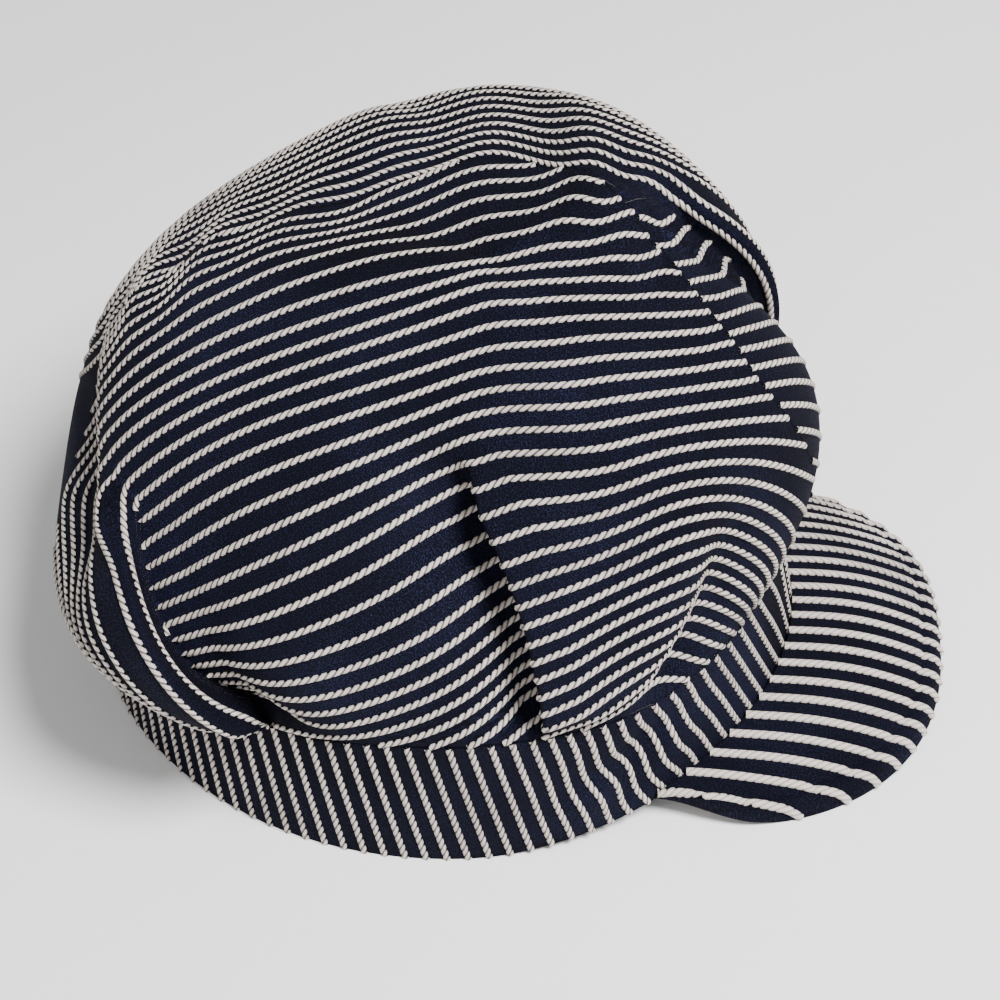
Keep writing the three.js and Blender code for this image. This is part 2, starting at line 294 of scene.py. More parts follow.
# The reach of the ridge, the valley and the lean, as shares of a fold's width
RIDGE_SPREAD = 1.3
VALLEY_SPREAD = 1.0
LEAN_REACH = 0.5
FOLD_SAMPLES = 24
# Shares of the radius from where the folds fade to the band seam, their lean does so, and the
# wall turns level
FOLD_FADE = 0.93
LEAN_FADE = 0.985
WALL_LEVEL = 0.9
# The puckers beside the centre seam: their depth in millimetres, their reach from the seam as a share
# of the radius, the sway of the cords in cords, the shift from half to half, and the places along
# the seam between which they fade in and out
PUCKER_DEPTH = 1.6
PUCKER_SPREAD = 0.09
PUCKER_CORDS = 0.3
PUCKER_SHIFT = 0.03
PUCKER_FRONT = (-0.55, -0.2)
PUCKER_BACK = (0.7, 0.3)


def named_fold(name):
    return next(fold for fold in FOLDS if fold["name"] == name)


def fold_line(fold):
    """The fold's smooth line, as evenly stepped points on the disc."""
    start, middle, end = [np.array(fold[key]) for key in ("start", "middle", "end")]
    share = np.linspace(0, 1, FOLD_SAMPLES + 1)[:, None]
    control = 2 * middle - (start + end) / 2
    return (1 - share) ** 2 * start + 2 * share * (1 - share) * control + share ** 2 * end


def nearest_on_line(line, across, along):
    """Signed distance from the line, positive on its left, and the share of the way along it."""
    place = np.stack((across, along), -1)
    best = np.full(across.shape, np.inf)
    signed = np.zeros(across.shape)
    share = np.zeros(across.shape)
    for k in range(len(line) - 1):
        run = line[k + 1] - line[k]
        offset = place - line[k]
        part = np.clip(offset @ run / (run @ run), 0, 1)
        gap = offset - part[..., None] * run
        distance = np.hypot(gap[..., 0], gap[..., 1])
        turn = run[0] * offset[..., 1] - run[1] * offset[..., 0]
        closer = distance < best
        best = np.where(closer, distance, best)
        signed = np.where(closer, distance * np.sign(turn), signed)
        share = np.where(closer, (k + part) / (len(line) - 1), share)
    return signed, share


def folded(across, along):
    """Displacement of the cloth by its folds, in millimetres."""
    right, back, normal = surface_frame(across, along)
    shift = np.zeros(across.shape + (3,))
    reach = np.hypot(across, along)
    hem = smooth_step(1.0, FOLD_FADE, reach)
    sewn = smooth_step(1.0, LEAN_FADE, reach)
    for fold in FOLDS:
        line = fold_line(fold)
        signed, share = nearest_on_line(line, across, along)
        over = signed * fold["side"] / fold["width"]
        taper = smooth_step(0, fold["opens"], share)
        if fold["closes"] < 1:
            taper = taper * smooth_step(1, fold["closes"], share)
        lip_side = 0.5 + 0.5 * np.tanh(over / fold["steep"])
        ridge = fold["ridge"] * bell(over, RIDGE_SPREAD) * lip_side
        valley = fold["valley"] * bell(over, VALLEY_SPREAD) * (1 - lip_side)
        shift += normal * (taper * hem * (ridge - valley))[..., None]
        # the lower layer runs under the lip and the lip leans back over it
        run = line[-1] - line[0]
        toward_lip = np.array((-run[1], run[0])) * fold["side"] / np.hypot(*run)
        bend = np.where(np.abs(over) < LEAN_REACH, np.sin(np.pi * over / LEAN_REACH), 0.0)
        lean = -fold["lap"] * bend * smooth_step(0.4, 1.0, taper) * sewn
        shift += (right * toward_lip[0] + back * toward_lip[1]) * lean[..., None]
    return shift


def pucker(across, along):
    """How the centre seam draws the cloth up, from -1 to 1, fading away from the seam."""
    beside = np.abs(across - seam_across(along))
    fade = bell(beside, PUCKER_SPREAD) * smooth_step(*PUCKER_FRONT, along)
    fade = fade * smooth_step(*PUCKER_BACK, along)
    # three waves with no common step keep the puckers uneven
    wave = np.sin(along * 38 + 1.3 * np.sin(along * 17)) + 0.5 * np.sin(along * 71 + 2.0)
    return fade * wave / 1.5


def crown_points(across, along, depth):
    """The crown's cloth with its folds and puckers, this deep under its outside."""
    _, _, normal = surface_frame(across, along)
    reach = np.hypot(across, along)
    normal = normal.copy()
    normal[..., 2] *= smooth_step(1.0, WALL_LEVEL, reach)
    normal /= np.linalg.norm(normal, axis=-1, keepdims=True)
    relief = PUCKER_DEPTH * pucker(across, along)[..., None]
    return crown_surface(across, along) + folded(across, along) + normal * (relief - depth)


def lengths(points, axis):
    """Running length along one axis of a grid of points."""
    steps = np.linalg.norm(np.diff(points, axis=axis), axis=-1)
    zero = np.zeros_like(np.take(steps, [0], axis=axis))
    return np.concatenate((zero, np.cumsum(steps, axis=axis)), axis=axis)


# Cords of the crown cloth, numbered from the lowest one over the front of the right half. Rows go
# across the disc, columns along it from the front, and the places between are filled in smoothly.
# The numbers are a fit to the cords of the real cap's right half, rounded, and not chosen by hand.
COUNT_ACROSS = (-1.0, 0.25)
COUNT_ALONG = (-0.9, 0.6)
CORD_COUNT = np.array([
    (-10.3, -5.1, 0.3, 4.2, 4.8, 2.0),
    (-3.6, 0.0, 6.1, 9.8, 9.7, 7.6),
    (2.4, 6.1, 11.8, 13.9, 14.6, 14.2),
    (9.9, 12.4, 17.1, 19.8, 20.1, 22.0),
    (12.6, 16.5, 22.1, 25.2, 28.1, 30.2),
    (14.5, 20.1, 26.6, 35.3, 38.3, 42.1),
])
# Beyond the rear pleat the cords run along its lip, from this number on and this many to a radius.
# On the pleat's other side that count is lowered, so that the table's own count holds there.
LIP_CORD = 20.8
LIP_CORDS_PER_SHARE = 34.0
LIP_DROP = 40
LIP_SOFTNESS = 0.7
# On the left half they run beside the seam and the front pocket's lip, from this number on. Below
# the pocket they carry on from the right half, this share of a cord higher.
LEFT_FIRST_CORD = 31.8
SEAM_MISMATCH = 0.45
# The cords leave the seam for the pocket's lip from this share of the radius behind the pocket's
# start to this share in front of it
POCKET_BEHIND = 0.18
POCKET_BEFORE = 0.08
# Limits in millimetres for the distance between cords and for their slant
SPACING_RANGE = (2, 60)
SLANT_LIMIT = 12


def smooth_max(first, second, softness):
    half = (first - second) / 2
    return (first + second) / 2 + np.sqrt(half ** 2 + softness ** 2)


def grid_value(table, row_range, column_range, row_place, column_place):
    """The smooth surface through an even grid of values, carried on in straight lines outside it."""
    rows, columns = table.shape
    padded = np.pad(table, 1, mode="reflect", reflect_type="odd")

    def place(value, span, count):
        step = (value - span[0]) / (span[1] - span[0]) * (count - 1)
        first = np.clip(np.floor(step).astype(int), 0, count - 2)
        return first, step - first

    row, row_share = place(row_place, row_range, rows)
    column, column_share = place(column_place, column_range, columns)
    row_inside = np.clip(row_share, 0, 1)
    column_inside = np.clip(column_share, 0, 1)

    def along_row(step):
        values = [padded[row + step, column + k] for k in range(4)]
        inside = catmull_rom(*values, column_inside)
        return inside + (values[2] - values[1]) * (column_share - column_inside)

    values = [along_row(step) for step in range(4)]
    return catmull_rom(*values, row_inside) + (values[2] - values[1]) * (row_share - row_inside)


def right_cords(across, along):
    """Cord number over the right half, and where its cords run along the rear pleat's lip."""
    main = grid_value(CORD_COUNT, COUNT_ACROSS, COUNT_ALONG, across, along)
    pleat = named_fold("rear pleat")
    signed, _ = nearest_on_line(fold_line(pleat), across, along)
    beyond = signed * pleat["side"]
    hidden = smooth_step(-0.05, -0.01, beyond)
    lip = LIP_CORD + beyond * LIP_CORDS_PER_SHARE - LIP_DROP * (1 - hidden)
    return smooth_max(main, lip, LIP_SOFTNESS), lip > main


def left_cords(run_across, across, along):
    """Cord number over the left half, from the running length across it."""
    pocket = named_fold("front pocket")
    line = fold_line(pocket)
    lip = np.interp(-along[:, 0], -line[:, 1], line[:, 0])
    edge = seam_across(along[:, 0])
    mouth = line[0, 1]
    beside_lip = smooth_step(mouth + POCKET_BEHIND, mouth - POCKET_BEFORE, along[:, 0])
    guide = edge + np.maximum(lip - edge, 0) * beside_lip
    at_guide = np.array([np.interp(*row) for row in zip(guide, across, run_across)])[:, None]
    upper = LEFT_FIRST_CORD + (run_across - at_guide) / PITCH
    lower = grid_value(CORD_COUNT, COUNT_ACROSS, COUNT_ALONG, across, along) + SEAM_MISMATCH
    signed, _ = nearest_on_line(line, across, along)
    under = (signed * pocket["side"] < -0.02) & (along < mouth)
    return np.where(under, lower, upper)


def cord_slopes(points, cords):
    """The product of two gradients on the surface, and the unit direction of rising cord number."""
    down = np.gradient(points, axis=0)
    side = np.gradient(points, axis=1)
    e = (down ** 2).sum(-1)
    f = (down * side).sum(-1)
    g = (side ** 2).sum(-1)
    area = np.maximum(e * g - f * f, 1e-9)

    def product(first, second):
        a0, a1 = np.gradient(first)
        b0, b1 = np.gradient(second)
        return (g * a0 * b0 - f * (a0 * b1 + a1 * b0) + e * a1 * b1) / area

    c0, c1 = np.gradient(cords)
    rise = ((g * c0 - f * c1) / area)[..., None] * down
    rise = rise + ((e * c1 - f * c0) / area)[..., None] * side
    rise /= np.maximum(np.linalg.norm(rise, axis=-1, keepdims=True), 1e-9)
    return product, rise


def cord_attributes(points, cords, turned):
    """Each point's cord number, distance between cords, length along them and that length's slant.

    The length runs along the rows, or along the columns where the cords have turned.
    """
    along_rows = lengths(points, 0)
    along_columns = lengths(points, 1)
    product, _ = cord_slopes(points, cords)
    steep = np.maximum(product(cords, cords), 1e-5)
    slant_rows = product(along_rows, cords) / steep
    slant_columns = product(along_columns, cords) / steep
    return {
        "cord": cords,
        "spacing": np.clip(1 / np.sqrt(steep), *SPACING_RANGE),
        "run": np.where(turned, along_columns, along_rows),
        "slant": np.clip(np.where(turned, slant_columns, slant_rows), -SLANT_LIMIT, SLANT_LIMIT),
    }


# A raised cord's section: how far across it and how far out of the cloth, as shares of its width
CORD_SECTION = np.array([
    (-0.50, -0.12),
    (-0.38, 0.20),
    (0.00, 0.36),
    (0.38, 0.20),
    (0.50, -0.12),
])


# Each cord's twist starts this much further on, so that the twists of neighbours don't line up
CORD_STAGGER = 0.37


def outward_normals(outer, inner):
    """The outer grid's own normals, on the side away from the inner grid."""
    normal = np.cross(np.gradient(outer, axis=0), np.gradient(outer, axis=1))
    normal /= np.linalg.norm(normal, axis=-1, keepdims=True)
    return normal * np.sign((normal * (outer - inner)).sum())


def chain_lengths(links, place):
    """Length along each chain of linked points, from a start of its own, and how long the chain is."""
    near = [[] for _ in place]
    for first, second in links.tolist():
        near[first].append(second)
        near[second].append(first)
    spots = place.tolist()
    length = [None] * len(spots)
    whole = [0.0] * len(spots)
    ends = [k for k in range(len(spots)) if len(near[k]) == 1]
    for start in ends + list(range(len(spots))):
        if length[start] is not None:
            continue
        length[start] = start * CORD_STAGGER % TWIST
        here = start
        members = [start]
        ahead = near[here]
        while ahead:
            length[ahead[0]] = length[here] + math.dist(spots[ahead[0]], spots[here])
            here = ahead[0]
            members.append(here)
            ahead = [k for k in near[here] if length[k] is None]
        total = length[here] - length[start]
        if len(near[start]) > 1:
            total *= LOOP_SHARE
        for k in members:
            whole[k] = total
    return np.array(length), np.array(whole)


def grid_crossings(fields, cords):
    """Where whole cord numbers cross the grid's edges: the fields there, and each edge's own index."""
    met = []
    number = []
    level = []
    count = 0
    for axis in (0, 1):
        last = cords.shape[axis] - 1
        first = np.take(cords, range(last), axis=axis)
        second = np.take(cords, range(1, last + 1), axis=axis)
        whole = np.maximum(np.floor(first), np.floor(second))
        crossed = (np.floor(first) != np.floor(second)) & (np.abs(first - second) < CORD_JUMP)
        share = ((whole - first) / np.where(crossed, second - first, 1))[crossed][:, None]
        here = np.take(fields, range(last), axis=axis)[crossed]
        there = np.take(fields, range(1, last + 1), axis=axis)[crossed]
        met.append(here * (1 - share) + there * share)
        index = np.full(first.shape, -1)
        index[crossed] = count + np.arange(crossed.sum())
        count += int(crossed.sum())
        number.append(index)
        level.append(np.where(crossed, whole, np.nan))
    return np.concatenate(met), number, level


def crossing_links(number, level):
    """Pairs of crossings that one cord joins through a cell of the grid."""
    sides = [(number[0][:, :-1], level[0][:, :-1]), (number[0][:, 1:], level[0][:, 1:]),
             (number[1][:-1], level[1][:-1]), (number[1][1:], level[1][1:])]
    links = []
    for a in range(4):
        for b in range(a + 1, 4):
            same = sides[a][1] == sides[b][1]
            others = [sides[k][1] for k in range(4) if k not in (a, b)]
            alone = same & (others[0] != sides[a][1]) & (others[1] != sides[a][1])
            links.append(np.stack((sides[a][0][alone], sides[b][0][alone]), -1))
    return np.concatenate(links)


def raised_cords(name, outer, inner, cords, width):
    """Half-round cords on the outside of a sheet, one wherever the cord number is whole."""
    _, rise = cord_slopes(outer, cords)
    fields = np.concatenate((outer, rise, outward_normals(outer, inner)), -1)
    met, number, level = grid_crossings(fields, cords)
    links = crossing_links(number, level)
    place, rise, normal = met[:, :3], met[:, 3:6], met[:, 6:9]
    rise = rise / np.linalg.norm(rise, axis=1, keepdims=True)
    step = place[links[:, 1]] - place[links[:, 0]]
    turned = (np.cross(step, rise[links[:, 0]]) * normal[links[:, 0]]).sum(1) < 0
    links[turned] = links[turned][:, ::-1]
    length, whole = chain_lengths(links, place)
    used, links = np.unique(links[whole[links[:, 0]] >= SHORTEST_CORD], return_inverse=True)
    links = links.reshape(-1, 2)
    place, rise, normal, length = place[used], rise[used], normal[used], length[used]
    section = CORD_SECTION * width
    rows = len(section)
    points = place[:, None] + rise[:, None] * section[None, :, :1]
    points = points + normal[:, None] * section[None, :, 1:]
    points[..., 2] = np.maximum(points[..., 2], 0.0)
    corner = links[:, :, None] * rows + np.arange(rows)
    faces = np.stack((corner[:, 0, :-1], corner[:, 1, :-1], corner[:, 1, 1:], corner[:, 0, 1:]), -1)
    cloth = {
        "run": np.repeat(length, rows),
        "beside": np.tile(section[:, 0], len(place)),
    }
    return mesh_piece(name, points.reshape(-1, 3), faces.reshape(-1, 4), cloth)


def to_frame(points):
    """From millimetres about the band's middle to metres in the row frame."""
    low, high = [np.array(corner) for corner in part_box("band")]
    shift = np.array(((low[0] + high[0]) / 2, low[1] + HALF_LENGTH / 1000, low[2]))
    return points / 1000.0 + shift


def mesh_piece(name, points, faces, cloth):
    """A smooth mesh from points in millimetres, with a value of each of the cloth's kinds at each."""
    mesh = bpy.data.meshes.new(name)
    mesh.from_pydata(to_frame(points).tolist(), [], faces.tolist())
    mesh.update()
    mesh.polygons.foreach_set("use_smooth", np.ones(len(faces), dtype=bool))
    for key, values in cloth.items():
        attribute = mesh.attributes.new(key, "FLOAT", "POINT")
        attribute.data.foreach_set("value", values.astype(np.float32))
    piece = bpy.data.objects.new(name, mesh)
    bpy.context.scene.collection.objects.link(piece)
    return piece


def sheet_piece(name, outer, inner, cloth, wraps=False):
    """A closed sheet from its outer and inner grids, with the cloth's values on each point.

    The flat stripes are hidden on its outside, where the raised cords lie.
    """
    rows, columns = outer.shape[:2]
    index = np.arange(2 * rows * columns).reshape(2, rows, columns)
    after = np.roll(index, -1, axis=1) if wraps else index[:, 1:]
    before = index if wraps else index[:, :-1]
    quads = []

    def add(a, b, c, d):
        quads.append(np.stack((a, b, c, d), -1).reshape(-1, 4))

    add(before[0, :, :-1], before[0, :, 1:], after[0, :, 1:], after[0, :, :-1])
    add(before[1, :, :-1], after[1, :, :-1], after[1, :, 1:], before[1, :, 1:])
    add(before[0, :, 0], after[0, :, 0], after[1, :, 0], before[1, :, 0])
    add(before[0, :, -1], before[1, :, -1], after[1, :, -1], after[0, :, -1])
    if not wraps:
        add(index[0, 0, :-1], index[1, 0, :-1], index[1, 0, 1:], index[0, 0, 1:])
        add(index[0, -1, :-1], index[0, -1, 1:], index[1, -1, 1:], index[1, -1, :-1])
    faces = np.concatenate(quads)
    points = np.concatenate((outer.reshape(-1, 3), inner.reshape(-1, 3)))
    corner = to_frame(points)[faces]
    volume = np.einsum("ij,ij->", corner[:, 0], np.cross(corner[:, 1], corner[:, 2]))
    volume += np.einsum("ij,ij->", corner[:, 0], np.cross(corner[:, 2], corner[:, 3]))
    if volume < 0:
        faces = faces[:, ::-1]
    both = {key: np.concatenate((values.ravel(), values.ravel())) for key, values in cloth.items()}
    if "spacing" in both:
        both["spacing"][:rows * columns] = HIDDEN_SPACING
    return mesh_piece(name, points, faces, both)


def crown_half(name, side):
    """Cloth and raised cords of half the crown; side is -1 on the wearer's right, 1 on the left."""
    widest = gore_half_share(np.array(1.0))
    back_end = math.sqrt(1 - widest ** 2) - BACK_MARGIN
    turn = np.linspace(0, math.pi, CROWN_ROWS)
    along = FRONT_END + (back_end - FRONT_END) * (1 - np.cos(turn)) / 2
    edge = seam_across(along) + side * gore_half_share(along)
    inside = edge + side * half_gap_share(edge, along)
    outside = side * np.sqrt(1 - along ** 2)
    share = np.linspace(0, 1, CROWN_COLUMNS)
    across = inside[:, None] + (outside - inside)[:, None] * share
    along = np.broadcast_to(along[:, None], across.shape)
    outer = crown_points(across, along, 0.0)
    inner = crown_points(across, along, CROWN_WALL)
    # inside the folds the wall's thickness runs along the folded cloth's own normal
    depth = np.linalg.norm(folded(across, along), axis=-1)
    reach = np.hypot(across, along)
    at_fold = smooth_step(*WALL_TURN, depth) * smooth_step(1.0, WALL_TURN_END, reach)
    at_fold = at_fold[..., None]
    inward = (inner - outer) / CROWN_WALL * (1 - at_fold) - outward_normals(outer, inner) * at_fold
    inner = outer + CROWN_WALL * inward / np.linalg.norm(inward, axis=-1, keepdims=True)
    if side < 0:
        cords, turned = right_cords(across, along)
    else:
        cords = left_cords(lengths(crown_surface(across, along), 1), across, along)
        turned = False
    cords = cords + PUCKER_CORDS * pucker(across, along - side * PUCKER_SHIFT)
    cloth = cord_attributes(outer, cords, turned)
    # inside the folds the flat stripes of the cloth's back are left out, because they would show
    cloth["spacing"] = np.where(depth > STRIPE_FOLD_DEPTH, HIDDEN_SPACING, cloth["spacing"])
    raised = raised_cords(name + "_cords", outer, inner, cords, CORD_WIDTH)
    return sheet_piece(name + "_cloth", outer, inner, cloth), raised


def back_gore():
    side = np.linspace(-1, 1, GORE_COLUMNS)[None, :]
    share = np.linspace(0, 1, GORE_ROWS)[:, None]
    rim = np.sqrt(1 - (side * gore_half_share(np.array(1.0))) ** 2)
    along = GORE_TOP + (rim - GORE_TOP) * share
    half = gore_half_share(along)
    gap = half_gap_share(seam_across(along) + side * half, along)
    across = seam_across(along) + side * (half - gap)
    outer = crown_points(across, along, 0.0)
    inner = crown_points(across, along, CROWN_WALL)
    cloth = {
        "cord": lengths(outer, 1) / PITCH,
        "run": lengths(outer, 0),
        "slant": np.zeros(across.shape),
    }
    return (sheet_piece("back_gore_cloth", outer, inner, cloth),)


def band():
    angle = np.linspace(0, 360, BAND_STEPS, endpoint=False)[:, None]
    level = np.linspace(0, 1, BAND_LEVELS)[None, :]
    height = level * band_height(angle)
    beside = bell(angle - CRUMPLE_ANGLE, CRUMPLE_SPREAD) * np.sin(np.pi * level)
    wave = np.sin(np.radians(angle * CRUMPLE_WAVES) + level * CRUMPLE_TURN)
    crease = level - CREASE_LEVEL - (CRUMPLE_ANGLE - angle) * CREASE_SLANT
    crumple = CRUMPLE_DEPTH * beside * wave - CREASE_DEPTH * beside * bell(crease, CREASE_SPREAD)
    outer = band_point(angle, level * BAND_LEAN - crumple, height)
    inner = band_point(angle, level * BAND_LEAN + BAND_WALL - crumple, height)
    middle = band_point(angle[:, 0], BAND_LEAN / 2, 0.0)
    round_band = lengths(middle[:, None], 0)
    skew = BAND_SKEW + BAND_FRONT_SKEW * smooth_step(75, 50, np.minimum(angle, 360 - angle))
    skew = np.where(angle < 180, skew, -skew) * smooth_step(0, 20, 180 - np.abs(angle - 180))
    sway = CRUMPLE_CORDS * beside * np.sin(level * 8 + angle * 0.3)
    cords = (round_band - skew * height) / BAND_PITCH + sway
    cloth = {
        "cord": cords,
        "spacing": np.full(cords.shape, BAND_PITCH),
        "run": lengths(outer, 1),
        "slant": -skew * BAND_PITCH * np.ones_like(cords),
    }
    raised = raised_cords("band_cords", outer, inner, cords, BAND_CORD_WIDTH)
    return sheet_piece("band_cloth", outer, inner, cloth, wraps=True), raised


def peak_edge(turn):
    """The peak's outer edge, at turns from -1 at the wearer's left corner to 1 at the right one."""
    corner = band_point(np.array(float(PEAK_CORNER_ANGLE)), 0.0, 0.0)
    sweep = np.radians(turn * 90)
    power = 2 / PEAK_ROUNDNESS
    sideways = np.sign(turn) * np.abs(np.sin(sweep)) ** power
    forward = np.abs(np.cos(sweep)) ** power
    blend = smooth_step(0, 0.35, forward)
    half_width = -corner[0] + (PEAK_WIDTH / 2 + corner[0]) * blend
    y = corner[1] - (HALF_LENGTH + PEAK_LENGTH + corner[1]) * forward
    at_corner = corner[2] * (1 - smooth_step(0, 0.5, forward))
    arch = PEAK_ARCH * (1 - sideways ** 2) ** 2
    return np.stack((-half_width * sideways, y, PEAK_WALL + at_corner + arch), -1)


def peak():
    turn = np.linspace(-1, 1, PEAK_STEPS)
    root = band_point(turn * PEAK_CORNER_ANGLE, -SEAM_GAP, PEAK_WALL)
    edge = peak_edge(turn)
    place = np.linspace(0, 1, PEAK_ROWS)
    reach = place[None, :, None]
    outer = root[:, None] * (1 - reach) + edge[:, None] * reach
    outer[..., 2] += PEAK_DOME * np.sin(np.pi * place) * (1 - turn[:, None] ** 2)
    inner = outer - (0, 0, PEAK_WALL)
    from_edge = np.linalg.norm(edge - root, axis=-1)[:, None] * (1 - place)
    stitched = STITCH_DEPTH * bell(from_edge - STITCH_INSET, STITCH_SPREAD)
    rounded = (PEAK_WALL - EDGE_LEFT) * np.clip(1 - from_edge / EDGE_ROUND, 0, 1) ** 2
    outer[..., 2] -= stitched + rounded
    cords = outer[..., 0] / PITCH + PEAK_CORD_OFFSET
    cloth = {
        "cord": cords,
        "spacing": np.full(cords.shape, PITCH),
        "run": -outer[..., 1],
        "slant": np.zeros(cords.shape),
    }
    raised = raised_cords("peak_cords", outer, inner, cords, PEAK_CORD_WIDTH)
    return sheet_piece("peak_cloth", outer, inner, cloth), raised


class Nodes:
    """A short way to write a material's nodes."""

    def __init__(self, name):
        self.material = bpy.data.materials.new(name)
        self.material.use_nodes = True
        self.tree = self.material.node_tree
        self.tree.nodes.clear()

    def put(self, kind, inputs=(), **settings):
        node = self.tree.nodes.new(kind)
        for key, value in settings.items():
            setattr(node, key, value)
        pairs = inputs.items() if isinstance(inputs, dict) else enumerate(inputs)
        for key, value in pairs:
            if isinstance(value, bpy.types.NodeSocket):
                self.tree.links.new(value, node.inputs[key])
            elif value is not None:
                node.inputs[key].default_value = value
        return node

    def math(self, operation, *values):
        return self.put("ShaderNodeMath", values, operation=operation).outputs[0]

    def attribute(self, name):
        return self.put("ShaderNodeAttribute", attribute_name=name).outputs["Fac"]

    def noise(self, vector, scale, detail=2.0, rough=0.5):
        node = self.put("ShaderNodeTexNoise",
                        {"Vector": vector, "Scale": scale, "Detail": detail, "Roughness": rough})
        return node.outputs["Fac"]

    def place(self, across, along):
        return self.put("ShaderNodeCombineXYZ", (across, along, 0.0)).outputs[0]

    def ramp(self, value, low, high):
        """0 below low, 1 above high, smooth between."""
        node = self.put("ShaderNodeMapRange", {"Value": value, "From Min": low, "From Max": high},
                        interpolation_type="SMOOTHSTEP")
        return node.outputs["Result"]

    def mix(self, share, first, second):
        # the colour sockets share their names with the others, so they go by number
        inputs = {"Factor": share, 6: first, 7: second}
        return self.put("ShaderNodeMix", inputs, data_type="RGBA").outputs[2]

    def cloth(self, color, height, roughness):
        """Finish the material as matt cloth with this colour and bumps of this height."""
        bump = self.put("ShaderNodeBump", {"Height": height, "Distance": BUMP_DISTANCE,
                                           "Strength": BUMP_STRENGTH})
        shader = self.put("ShaderNodeBsdfPrincipled",
                          {"Base Color": color, "Roughness": roughness, "Normal": bump.outputs[0],
                           "Specular IOR Level": CLOTH_SPECULAR})
        self.put("ShaderNodeOutputMaterial", {"Surface": shader.outputs[0]})
        return self.material


# NAVY_LIT is both the yarn's light flecks and the painted highlight on the twill's rib tops; NAVY_DARK
# is the cloth's dark ground
NAVY_LIT = (0.030, 0.034, 0.100, 1)
NAVY_DARK = (0.0016, 0.0016, 0.0046, 1)
CREAM = (0.61, 0.55, 0.50, 1)
# CREAM_SHADE is the cords' painted shade in the twist's grooves and at their edges, and also the darker
# tone of their fuzz and wear
CREAM_SHADE = (0.085, 0.070, 0.070, 1)
CLOTH_ROUGHNESS = 0.92
YARN_ROUGHNESS = 0.9
CLOTH_SPECULAR = 0.1
BUMP_DISTANCE = 0.001
BUMP_STRENGTH = 0.9
# The twill's ribs run on a slant, by turns for each millimetre along and across the cloth
RIB_ALONG = 0.95
RIB_ACROSS = 0.6
# How soft the edges of stripes and cords are, in millimetres
STRIPE_SOFTNESS = 0.12
SCALLOP_SOFTNESS = 0.08
# How deep the twist cuts into a cord's edge, as a share of half its width
SCALLOP_DEPTH = 0.36
# How strongly each of these darkens the cream: the edge with painted shade where the cord turns down to
# the cloth, the fuzz and the wear with the yarn's own uneven tone
EDGE_SHADE = 0.4
FUZZ_TONE = 0.35
WEAR_TONE = 0.25


def navy_twill(n, place, along, across):
    """Colour and height of navy twill: slanted ribs with a painted highlight on their tops, and light
    flecks of yarn.
    """
    slanted = n.math("ADD", n.math("MULTIPLY", along, RIB_ALONG), n.math("MULTIPLY", across, RIB_ACROSS))
    rib = n.math("FRACT", slanted)
    rib_height = n.math("ABSOLUTE", n.math("SUBTRACT", rib, 0.5))
    yarn = n.noise(place, 2.4, 2.0, 0.7)
    worn = n.noise(n.put("ShaderNodeTexCoord").outputs["Object"], 22.0, 3.0, 0.6)
    # the ribs' tops are coloured lighter as a painted highlight; the yarn noise gives the cloth's own
    # light flecks and the worn noise varies its tone at random
    lit = n.ramp(n.math("ADD", n.math("MULTIPLY", rib_height, 0.35), yarn), 0.55, 0.95)
    lit = n.math("MULTIPLY", lit, n.math("ADD", 0.55, n.ramp(worn, 0.3, 0.75)))
    color = n.mix(n.math("MINIMUM", lit, 1.0), NAVY_DARK, NAVY_LIT)
    height = n.math("ADD", n.math("MULTIPLY", rib_height, 0.2), n.math("MULTIPLY", yarn, 0.25))
    return color, height


def striped_cloth(name, stripe_width):
    """Navy twill with flat cream stripes where the raised cords lie on its other side."""
    n = Nodes(name)
    # half a cord is added, so that each stripe's middle falls halfway between whole numbers
    cord_number = n.math("ADD", n.attribute("cord"), 0.5)
    phase = n.math("SUBTRACT", n.math("FRACT", cord_number), 0.5)
    local = n.math("MULTIPLY", phase, n.attribute("spacing"))
    along = n.math("SUBTRACT", n.attribute("run"), n.math("MULTIPLY", n.attribute("slant"), phase))
    place = n.place(n.math("MULTIPLY", cord_number, PITCH), along)
    navy, height = navy_twill(n, place, along, local)
    inside = n.math("SUBTRACT", stripe_width / 2, n.math("ABSOLUTE", local))
    color = n.mix(n.ramp(inside, -STRIPE_SOFTNESS, STRIPE_SOFTNESS), navy, CREAM)
    return n.cloth(color, height, CLOTH_ROUGHNESS)


